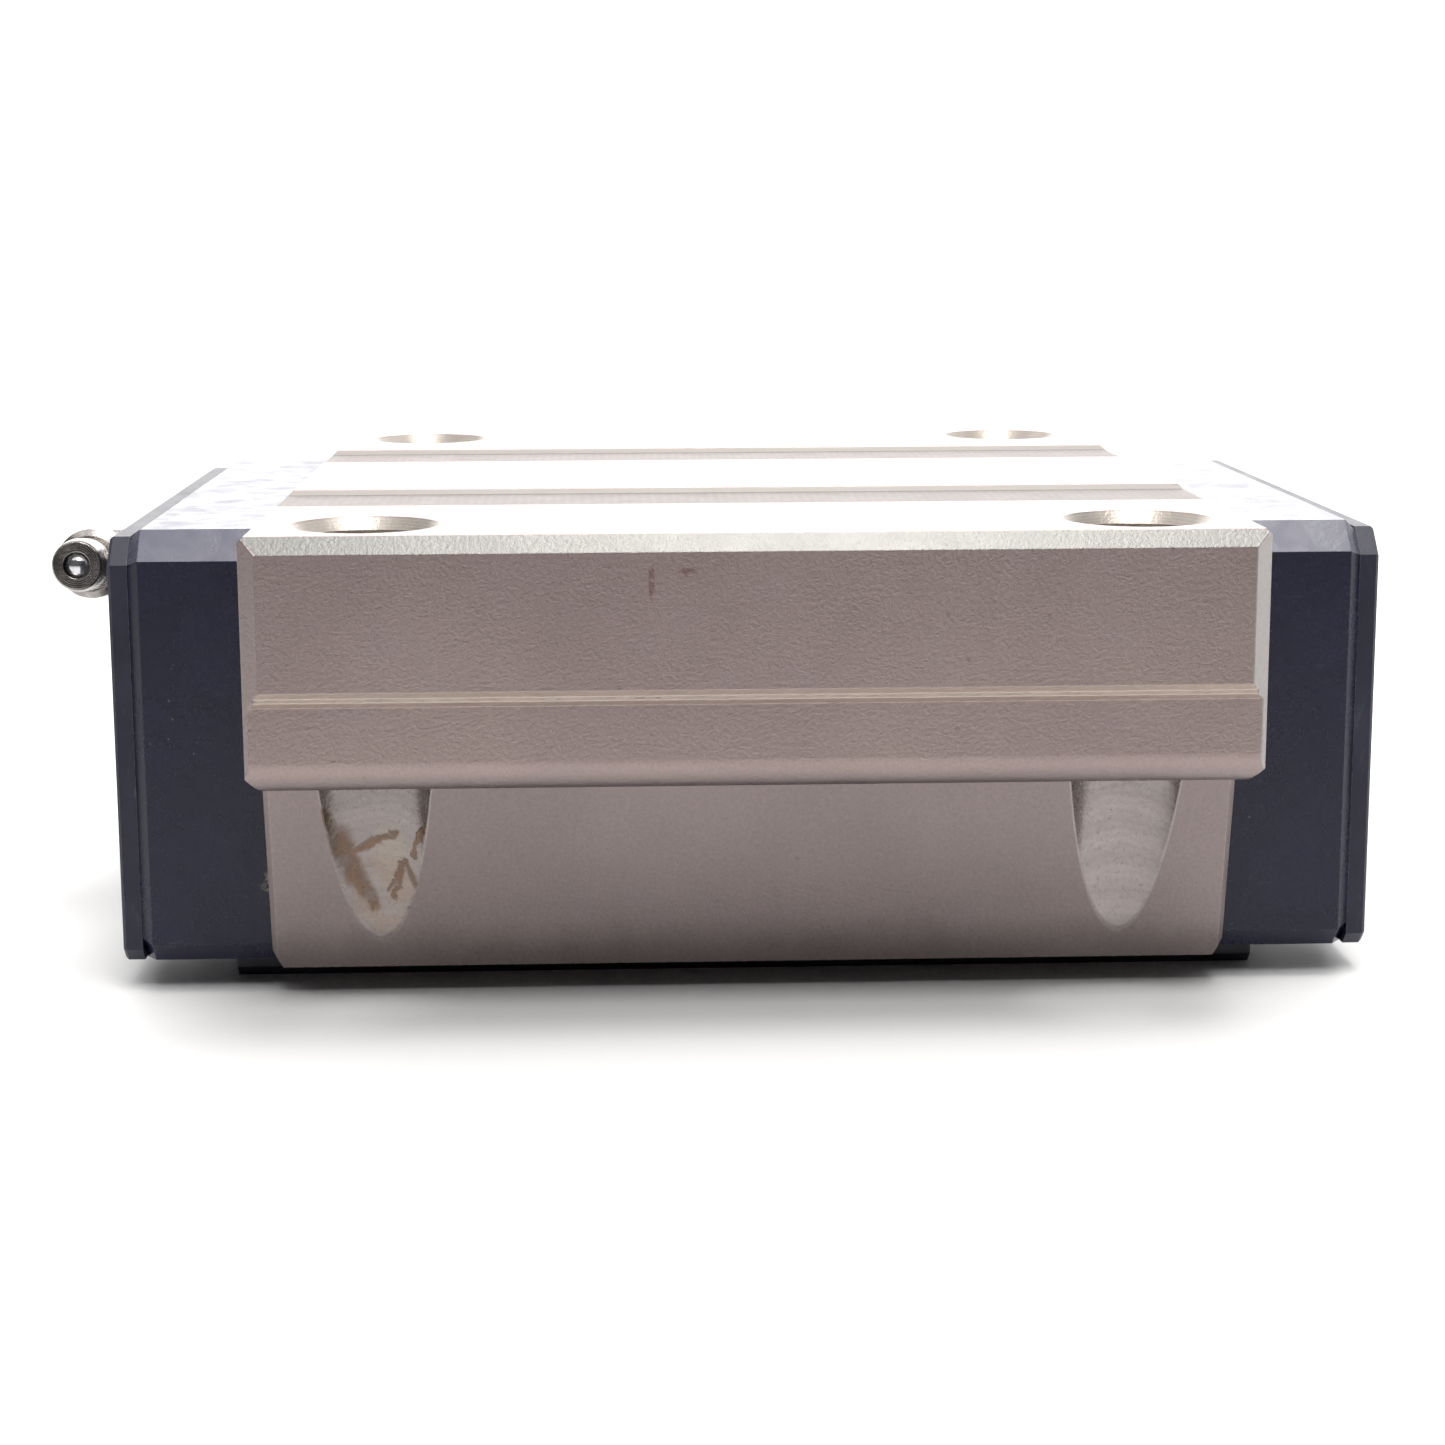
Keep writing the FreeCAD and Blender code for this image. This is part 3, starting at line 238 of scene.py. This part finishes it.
    def finish(self, base, rough, metal=0.0, bumps=(), round_mm=0.0, **extra):
        put(self.t, self.b.inputs["Base Color"], base)
        put(self.t, self.b.inputs["Roughness"], rough)
        put(self.t, self.b.inputs["Metallic"], metal)
        for k, v in extra.items():
            put(self.t, self.b.inputs[k.replace("_", " ")], v)
        last = None
        if round_mm:
            bv = self.t.nodes.new("ShaderNodeBevel")
            bv.samples = 6
            bv.inputs["Radius"].default_value = round_mm * MM
            last = bv.outputs[0]
        for height, deep in bumps:
            bp = self.t.nodes.new("ShaderNodeBump")
            bp.inputs["Strength"].default_value = 1.0
            bp.inputs["Distance"].default_value = deep * MM
            put(self.t, bp.inputs["Height"], height)
            if last:
                self.t.links.new(last, bp.inputs["Normal"])
            last = bp.outputs[0]
        if last:
            self.t.links.new(last, self.b.inputs["Normal"])
        return self.m


# ------------------------------------------------------------------ materials

def steel_block():
    m = Mat("block_steel")
    grain = m.noise(0.34, 3.0, 0.62)
    fine = m.noise(0.13, 2.0, 0.6, shift=31.0)
    soft = m.noise(16.0, 2.5, 0.5, shift=7.0)
    patch = m.noise(3.6, 3.0, 0.55, shift=3.0)
    base = m.mix(lin(152, 137, 134), lin(156, 141, 137), soft.span(0.3, 0.7))
    base = m.mix(base, lin(149, 138, 139), patch.span(0.52, 0.78) * 0.35)
    shade = 1.0 + (grain - 0.5) * 0.36 + (fine - 0.5) * 0.26 + (patch - 0.5) * 0.08 + (soft - 0.5) * 0.05
    base = m.tone(base, shade)
    rough = 0.36 + (grain - 0.5) * 0.20 + (patch - 0.5) * 0.12
    below = m.z.span(-20.9, -20.3, 1.0, 0.0)
    base = m.mix(base, (0.93, 0.97, 1.0), (m.z.span(-19.9, -18.2, 1.0, 0.0)), "MULTIPLY")
    # painted shade: the body below the flange is darkened for the shade under the flange's overhang
    base = m.tone(base, 1.0 - below * 0.16)
    # painted highlight: the ledge's slopes are painted lighter for the light from above that falls on them
    ledge_highlight = m.z.span(-12.2, -12.05, 1.0, 0.0) * m.z.span(-13.45, -13.3) * m.y.abs().span(48.6, 48.9)
    base = m.mix(base, lin(192, 178, 168), ledge_highlight * 0.85)
    # relief channels on the top, left as milled
    relief = m.z.span(-0.10, -0.03, 1.0, 0.0) * m.z.span(-0.9, -0.7) * m.y.abs().span(12.8, 13.4) * m.y.abs().span(27.1, 27.7, 1.0, 0.0)
    mill = ((m.x * 7.5) + m.noise(5.0, 2.0, 0.5, shift=13.0) * 5.0).sin() * 0.5 + 0.5
    base = m.mix(base, m.tone(lin(146, 138, 134), 0.97 + mill * 0.06), relief)
    flank = relief * m.z.span(-0.43, -0.40)
    base = m.mix(base, lin(182, 175, 170), flank)
    rough = rough + relief * 0.2
    # rail side: ground raceways and walls
    inner = m.y.abs().span(19.2, 20.0, 1.0, 0.0) * m.z.span(-17.2, -16.0, 1.0, 0.0)
    ground = m.noise(0.22, 2.0, 0.6, stretch=(0.04, 1.0, 1.0))
    base = m.mix(base, m.tone(lin(192, 190, 188), 0.86 + ground * 0.28), inner)
    rough = rough - inner * 0.22
    # cutter paths under the bolt holes
    hx, hy = (m.x.abs() - 31.0), (m.y.abs() - 41.0)
    far = (hx.pow(2.0) + hy.pow(2.0)).sqrt()
    scoop = far.span(5.26, 5.34, 1.0, 0.0) * m.z.span(-20.5, -20.42, 1.0, 0.0)
    arc = m.z + hx.pow(2.0) * 0.075 + m.noise(2.4, 3.0, 0.55, shift=17.0) * 1.3
    lines = (arc * 8.3).sin() * 0.5 + 0.5
    broad = (arc * 2.1 + m.noise(1.7, 3.0, 0.6, shift=23.0) * 3.0).sin() * 0.5 + 0.5
    torn = m.noise(1.3, 3.0, 0.6, stretch=(0.5, 0.5, 1.5), shift=41.0)
    cut = m.tone(m.mix(lin(150, 142, 139), lin(157, 149, 146), broad), 0.97 + lines * 0.05 + (torn - 0.5) * 0.10)
    nick = m.cells(1.9, 14.0).span(0.05, 0.13, 1.0, 0.0) * torn.span(0.5, 0.6)
    cut = m.mix(cut, lin(96, 88, 86), nick * 0.5)
    base = m.mix(base, cut, scoop * 0.92)
    rough = rough - scoop * 0.10
    # bolt holes: turned countersink and thread flank
    hole = far.span(6.02, 6.10, 1.0, 0.0) * m.z.span(-20.42, -20.3) * (1.0 - scoop)
    turned = (m.z * 26.0 + m.noise(1.1, 2.0, 0.5) * 2.0).sin() * 0.5 + 0.5
    base = m.mix(base, m.tone(lin(166, 158, 150), 0.95 + turned * 0.08), hole * m.z.span(-0.12, -0.02, 1.0, 0.0))
    # dried grease in the front left cutter path, a trace in the right one
    smear = m.noise(2.2, 5.0, 0.62, twist=1.4, shift=5.0)
    front_left = scoop * m.x.span(-20.0, -19.0, 1.0, 0.0) * m.y.span(-20.0, -19.0, 1.0, 0.0)
    wob = smear - 0.5
    film = m.near(-30.6, -38.0, -31.5, 3.4, 6.0, 4.6) * m.noise(3.0, 3.0, 0.6, shift=51.0).span(0.35, 0.6) * front_left
    base = m.mix(base, lin(150, 128, 112), film * 0.5)
    cream = m.near(-30.2, -38.0, -27.6, 2.0, 6.0, 2.6) * front_left
    base = m.mix(m.tone(base, 1.0 - front_left * 0.10), lin(156, 147, 134), cream * 0.4)
    grease = m.streak(-35.6, -24.1, -34.6, -26.0, 0.55, wob * 0.9)
    for line in ((-34.5, -26.2, -33.6, -28.2, 1.15), (-33.6, -28.0, -33.0, -29.9, 1.0), (-33.0, -29.6, -32.1, -31.3, 0.75),
                 (-32.9, -27.9, -29.6, -26.4, 0.42), (-28.9, -28.7, -30.3, -31.2, 0.24), (-28.8, -28.7, -28.0, -30.6, 0.3),
                 (-29.1, -29.5, -29.8, -31.8, 0.26), (-27.1, -25.8, -28.0, -28.3, 0.2), (-32.0, -31.2, -31.5, -32.6, 0.55)):
        grease = grease.most(m.streak(*line, wob * 0.9))
    grease = grease * front_left * (smear.span(0.36, 0.56) * 0.35 + 0.65)
    base = m.mix(base, m.mix(lin(90, 70, 57), lin(116, 93, 77), smear.span(0.4, 0.62)), grease * 0.88)
    right = m.near(30.0, -38.0, -31.0, 4.4, 5.0, 4.2) * scoop
    trace = m.noise(0.8, 3.0, 0.6, shift=61.0).span(0.6, 0.68) * right
    base = m.mix(base, lin(112, 103, 96), trace * 0.4)
    # faint rust-brown marks on the front face, small dark pits, brighter worn edges
    rust = m.near(-8.3, -50.0, -3.4, 0.3, 0.6, 2.3).most(m.near(-5.5, -50.0, -2.9, 0.9, 0.6, 0.45))
    rust = rust * m.noise(0.7, 3.0, 0.6, shift=9.0).span(0.45, 0.6)
    base = m.mix(base, lin(116, 80, 78), rust * 0.6)
    pits = m.cells(2.7, 4.0).span(0.05, 0.085, 1.0, 0.0) * patch.span(0.45, 0.6)
    base = m.mix(base, lin(112, 100, 96), pits * 0.3)
    # the upright corner bevels: the right one is painted paler, a painted highlight for the light from the right, and
    # the left one keeps the face's tone
    corner = (m.x.abs() + m.y.abs()).span(88.66, 88.74) * m.z.span(-20.5, -20.4)
    base = m.mix(base, m.tone(m.mix(lin(150, 137, 135), lin(161, 156, 154), m.x.span(-1.0, 1.0)), shade), corner)
    worn = m.edge(0.3) * grain.span(0.30, 0.6) * (1.0 - relief) * (1.0 - m.near_path(far))
    base = m.mix(base, lin(196, 188, 183), worn * 0.26)
    # the long upper bevel is painted darker, painted shade that holds down the overhead light on it, and the lower edge
    # of the body is painted darker, painted shade towards the floor
    bevel = m.z.span(-1.34, -1.27) * m.z.span(-0.06, -0.01, 1.0, 0.0) * m.y.abs().span(48.55, 48.7)
    base = m.mix(base, m.tone(lin(108, 107, 104), shade), bevel * (1.0 - corner))
    # painted shade: the body darkens towards its bottom edge near the floor
    bottom_shade = (m.z + (patch - 0.5) * 1.6).span(-37.9, -33.5, 1.0, 0.0) * m.y.abs().span(34.0, 34.8)
    base = m.tone(base, 1.0 - bottom_shade * 0.42)
    rough = (rough - worn * 0.12).most(0.16)
    height = grain * 0.7 + fine * 0.3
    return m.finish(base, rough, 0.94 - relief * 0.4 - flank * 0.5, [
        (height * (1.0 - inner * 0.85) * (1.0 - scoop * 0.85) * (1.0 - relief * 0.7), 0.055),
        (lines * scoop * 0.04 + torn * scoop * 0.10 + grease * 0.18 + turned * hole * 0.04 + mill * relief * 0.02, 0.10),
        (ground * inner, 0.01), (1.0 - pits, 0.012)], round_mm=0.16)


def plastic(name, low, high, rough=0.30, specks=0.5, spots=(), level=0.5, film=(0.10, 0.10, 0.12)):
    m = Mat(name)
    cloud = m.noise(9.0, 4.0, 0.6, twist=0.6, shift=2.0)
    mould = m.noise(0.28, 3.0, 0.6, shift=5.0)
    wipe = m.noise(2.2, 4.0, 0.65, stretch=(1.0, 1.0, 0.35), shift=19.0)
    base = m.mix(low, high, cloud.span(0.35, 0.66))
    base = m.tone(base, 1.0 + (mould - 0.5) * 0.35)
    haze = wipe.span(0.56, 0.78)
    base = m.mix(base, lin(80, 82, 98), haze * 0.07)
    dust = m.cells(3.4, 8.0).span(0.035, 0.075, 1.0, 0.0) * m.noise(6.0, 1.0, 0.5, shift=27.0).span(0.5, 0.62)
    dots = m.cells(1.3, 2.0).span(0.04, 0.09, 1.0, 0.0) * m.noise(11.0, 1.0, 0.5, shift=37.0).span(0.55, 0.68)
    base = m.mix(base, lin(150, 150, 148), (dust * 0.75 + dots * 0.35).least(1.0) * specks)
    scratch = m.noise(0.5, 2.0, 0.5, stretch=(0.12, 1.0, 1.4), shift=77.0).span(0.68, 0.74) * cloud.span(0.45, 0.6)
    base = m.mix(base, lin(112, 112, 120), scratch * 0.16)
    for x, y, z, rx, rz, colour, much in spots:
        f = m.near(x, y, z, rx, 2.5, rz) * m.noise(0.75, 4.0, 0.7, shift=x).span(0.47, 0.6)
        base = m.mix(base, colour, f * much)
    worn = m.edge(0.28) * mould.span(0.3, 0.6)
    base = m.mix(base, lin(100, 100, 112), worn * 0.2)
    # fine dust lies on the faces that look up, thinner where they were wiped
    up = m.normal_z().span(0.25, 0.75)
    lie = m.noise(3.0, 4.0, 0.6, twist=0.8, shift=88.0)
    base = m.mix(base, film, up * (0.42 + lie * 0.5))
    r = rough + (mould - 0.5) * 0.14 + haze * 0.14 + (cloud - 0.5) * 0.22 + up * (lie - 0.3) * 0.3
    return m.finish(base, r.most(0.12), 0.0, [(mould, 0.012), (wipe, 0.02)], round_mm=0.16, IOR=1.5,
                    Specular_IOR_Level=level + up * (0.5 - level) - up * lie.span(0.38, 0.64) * (m.x.span(-41.0, -39.0, 0.34, 0.2)))


def coated_plate():
    m = Mat("seal_plate")
    cloud = m.noise(7.0, 3.0, 0.55, shift=3.0)
    peel = m.noise(0.42, 3.0, 0.55, shift=6.0)
    rub = m.noise(1.6, 4.0, 0.7, stretch=(1.0, 0.6, 0.3), shift=14.0).span(0.58, 0.72)
    base = m.mix(lin(24, 24, 44), lin(36, 36, 54), cloud.span(0.35, 0.65))
    base = m.tone(base, 1.0 + (peel - 0.5) * 0.3)
    base = m.mix(base, lin(122, 120, 122), rub * 0.16)
    worn = m.edge(0.12) * m.noise(0.8, 3.0, 0.6, shift=44.0).span(0.3, 0.6)
    base = m.mix(base, lin(150, 148, 150), worn * 0.45)
    return m.finish(base, (0.42 + (cloud - 0.5) * 0.2 - worn * 0.08 + rub * 0.1), worn * 0.4, [(peel, 0.012)], round_mm=0.08, Specular_IOR_Level=0.4)


def rubber():
    m = Mat("seal_rubber")
    skin = m.noise(0.35, 3.0, 0.6)
    bloom = m.noise(4.0, 4.0, 0.6, twist=0.5, shift=21.0)
    base = m.mix(lin(26, 26, 28), lin(44, 44, 46), bloom.span(0.4, 0.7))
    base = m.tone(base, 1.0 + (skin - 0.5) * 0.5)
    worn = m.edge(0.25)
    base = m.mix(base, lin(84, 84, 84), worn * 0.3)
    return m.finish(base, 0.68 + (skin - 0.5) * 0.2, 0.0, [(skin, 0.025)], round_mm=0.12)


def metal(name, dark, light, rough, grain_mm=0.2, stretch=None, wear=(225, 222, 220), deep=0.01, stain=None, metallic=0.95, ring=None):
    m = Mat(name)
    g = m.noise(grain_mm, 3.0, 0.6, stretch=stretch, shift=4.0)
    cloud = m.noise(2.5, 4.0, 0.6, shift=12.0)
    base = m.mix(dark, light, cloud.span(0.35, 0.68))
    base = m.tone(base, 1.0 + (g - 0.5) * 0.3)
    if ring:
        # painted dark reflection: the head's flat face is darkened towards its tip
        base = m.tone(base, m.y.span(-12.2, -9.4, 0.62, 1.0))
    if stain:
        s = m.noise(1.1, 4.0, 0.65, twist=0.7, shift=33.0).span(0.56, 0.7)
        base = m.mix(base, stain, s * 0.5)
        rough_more = s * 0.2
    else:
        rough_more = cloud * 0.0
    worn = m.edge(0.2) * g.span(0.25, 0.5)
    base = m.mix(base, lin(*wear), worn * 0.5)
    bumps = [(g, deep)]
    if ring:
        cx, cz = ring
        d = ((m.x - cx).pow(2.0) + (m.z - cz).pow(2.0)).sqrt()
        lines = (d * 34.0 + cloud * 2.0).sin() * 0.5 + 0.5
        base = m.tone(base, 0.92 + lines * 0.12)
        bumps.append((lines, 0.004))
    r = rough + (g - 0.5) * 0.12 + (cloud - 0.5) * 0.1 + rough_more
    return m.finish(base, r.most(0.06), metallic, bumps, round_mm=0.08)


def pale_floor():
    m = Mat("floor_white")
    weave = m.noise(0.9, 3.0, 0.6)
    wide = m.noise(160.0, 2.0, 0.5, shift=5.0)
    base = m.tone((0.86, 0.855, 0.85), 1.0 + (wide - 0.5) * 0.03 + (weave - 0.5) * 0.02)
    return m.finish(base, 0.55, 0.0, [(weave, 0.01)], Specular_IOR_Level=0.3)


M = {
    "block_steel": steel_block(),
    "cap_plastic": plastic("cap_plastic", lin(11, 11, 38), lin(20, 20, 48), 0.25, 0.6, level=0.36, film=lin(125, 125, 139),
                           spots=[(-39.0, -33.8, -31.0, 2.6, 1.5, lin(150, 156, 128), 0.8),
                                  (-36.0, -33.8, -31.6, 2.2, 1.0, lin(120, 126, 100), 0.6)]),
    "guide_plastic": plastic("guide_plastic", lin(206, 202, 186), lin(222, 218, 206), 0.45, 0.0, film=lin(214, 210, 196)),
    "retainer_plastic": plastic("retainer_plastic", lin(30, 30, 34), lin(42, 42, 46), 0.45, 0.3),
    "carrier_plastic": plastic("carrier_plastic", lin(26, 26, 38), lin(36, 36, 50), 0.42, 0.4),
    "seal_plate": coated_plate(),
    "seal_rubber": rubber(),
    "ball_steel": metal("ball_steel", lin(198, 198, 202), lin(226, 226, 230), 0.10, 0.5, deep=0.002),
    "screw_steel": metal("screw_steel", lin(62, 62, 66), lin(88, 88, 92), 0.34, 0.18, stain=lin(48, 46, 48)),
    "nipple_steel": metal("nipple_steel", lin(150, 145, 142), lin(206, 200, 196), 0.22, 0.16, stain=lin(92, 86, 82), ring=(-59.3, -6.64), deep=0.014),
    "spring_steel": metal("spring_steel", lin(120, 120, 124), lin(168, 168, 172), 0.25, 0.12),
}
thread_steel = metal("thread_steel", lin(128, 118, 110), lin(160, 149, 140), 0.36, 0.2, stretch=(1.0, 1.0, 4.0), metallic=0.8)

slots = {s["node"]: s["material_slot"] for s in frame["record"]["subparts"]}
for name, obj in nodes.items():
    obj.data.materials.clear()
    obj.data.materials.append(M[slots[name]])
    for poly in obj.data.polygons:
        poly.material_index = 0


# ------------------------------------------------------------------ dressing

def mesh_object(name, verts, faces, material, body=ROOT, smooth=True):
    me = bpy.data.meshes.new(name)
    me.from_pydata(verts, [], faces)
    me.validate()
    bm = bmesh.new()
    bm.from_mesh(me)
    bmesh.ops.recalc_face_normals(bm, faces=bm.faces)
    bm.to_mesh(me)
    bm.free()
    for p in me.polygons:
        p.use_smooth = smooth
    me.materials.append(material)
    o = bpy.data.objects.new(name, me)
    bpy.context.scene.collection.objects.link(o)
    if body:
        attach(o, body)
    return o


def thread(name, cx, cy, top, bottom, root, crest, pitch, steps=56):
    """Ridge of an internal thread: a helix with a trapezoid section, tapering out at both ends."""
    turns = (top - bottom) / pitch
    count = int(turns * steps)
    verts, faces = [], []
    for i in range(count + 1):
        a = 2 * math.pi * i / steps
        z = top - (top - bottom) * i / count
        fade = min(1.0, i / (steps * 0.4), (count - i) / (steps * 0.4))
        depth = (root - crest) * max(fade, 0.02)
        half = pitch * 0.44 * max(fade, 0.02)
        flat = pitch * 0.07 * max(fade, 0.02)
        for r, dz in ((root + 0.01, half), (root - depth, flat), (root - depth, -flat), (root + 0.01, -half)):
            verts.append(((cx + r * math.cos(a)) * MM, (cy + r * math.sin(a)) * MM, (z + dz) * MM))
    for i in range(count):
        for j in range(4):
            a, b = i * 4 + j, i * 4 + (j + 1) % 4
            faces.append((a, b, b + 4, a + 4))
    faces.append((0, 1, 2, 3))
    e = count * 4
    faces.append((e + 3, e + 2, e + 1, e))
    return mesh_object(name, verts, faces, thread_steel, smooth=False)


for ix, sx in ((0, -1), (1, 1)):
    for iy, sy in ((0, -1), (1, 1)):
        thread("thread_%s_%s" % (("front", "back")[iy], ("left", "right")[ix]), sx * 31.0, sy * 41.0, -1.9, -19.7, 5.0, 4.3, 1.5)


# ------------------------------------------------------------------ floor and light

def sweep():
    """White sweep: flat floor that curves up far behind."""
    prof = [(-1.6, 0.0), (-0.6, 0.0), (0.0, 0.0), (0.9, 0.0)]
    for k in range(1, 13):
        a = math.radians(90 * k / 12)
        prof.append((0.9 + 0.5 * math.sin(a), 0.5 - 0.5 * math.cos(a)))
    prof.append((1.4, 0.95))
    verts, faces = [], []
    for x in (-2.6, 2.6):
        verts += [(x, y, FLOOR_Z + z) for y, z in prof]
    n = len(prof)
    for i in range(n - 1):
        faces.append((i, i + 1, n + i + 1, n + i))
    o = mesh_object("floor", verts, faces, pale_floor(), body=None)
    for p in o.data.polygons:
        if p.normal.z < -0.01 or (abs(p.normal.z) < 0.01 and p.normal.y > 0):
            p.flip()
    return o


sweep()


def area(name, at, aim, size, watts, colour=(1, 1, 1), spread=None):
    l = bpy.data.lights.new(name, "AREA")
    if spread:
        l.spread = math.radians(spread)
    l.shape = "RECTANGLE"
    l.size, l.size_y = size
    l.energy = watts
    l.color = colour
    o = bpy.data.objects.new(name, l)
    bpy.context.scene.collection.objects.link(o)
    o.location = at
    o.rotation_mode = "QUATERNION"
    o.rotation_quaternion = (Vector(aim) - Vector(at)).to_track_quat("-Z", "Y")
    o.visible_camera = False
    return o


area("lamp", (0.06, -0.09, 0.62), (0.0, -0.04, -0.04), (0.29, 0.25), 2.4, (1.0, 0.99, 0.975))
area("ceiling", (0.0, -0.05, 0.78), (0.0, -0.05, 0.0), (1.6, 1.3), 6.8, (1.0, 0.995, 0.985))
area("front_high", (0.0, -0.27, 0.34), (0.0, -0.052, -0.04), (0.24, 0.12), 0.10, spread=60.0)
area("backdrop_light", (0.12, 0.70, 0.85), (0.12, 1.42, 0.12), (2.2, 0.4), 42.0)
area("right_fill", (0.80, 0.24, 0.12), (0.0, 0.02, -0.02), (0.5, 0.3), 1.2)

world = bpy.data.worlds.new("room")
bpy.context.scene.world = world
world.use_nodes = True
bg = world.node_tree.nodes.get("Background") or world.node_tree.nodes.new("ShaderNodeBackground")
bg.inputs[0].default_value = (0.93, 0.96, 1.0, 1.0)
bg.inputs[1].default_value = 0.08

scene = bpy.context.scene
scene.view_settings.view_transform = "Standard"
scene.view_settings.look = "None"
scene.view_settings.exposure = 0.0
scene.view_settings.gamma = 1.0


# ------------------------------------------------------------------ camera

def camera():
    yaw, pitch, roll = -0.038, -0.184, -0.004
    cy, sy, cp, sp = math.cos(yaw), math.sin(yaw), math.cos(pitch), math.sin(pitch)
    f = Vector((-sy * cp, cy * cp, sp))
    r = Vector((cy, sy, 0.0))
    u = r.cross(f)
    cr, sr = math.cos(roll), math.sin(roll)
    r, u = cr * r + sr * u, -sr * r + cr * u
    data = bpy.data.cameras.new("camera")
    data.sensor_width = 36.0
    data.lens = 2811.84 / 1445.0 * 36.0
    data.clip_start, data.clip_end = 0.01, 20.0
    o = bpy.data.objects.new("camera", data)
    bpy.context.scene.collection.objects.link(o)
    o.matrix_world = Matrix(((r.x, u.x, -f.x, -0.011041), (r.y, u.y, -f.y, -0.265121), (r.z, u.z, -f.z, 0.025381), (0, 0, 0, 1)))
    bpy.context.scene.camera = o


camera()
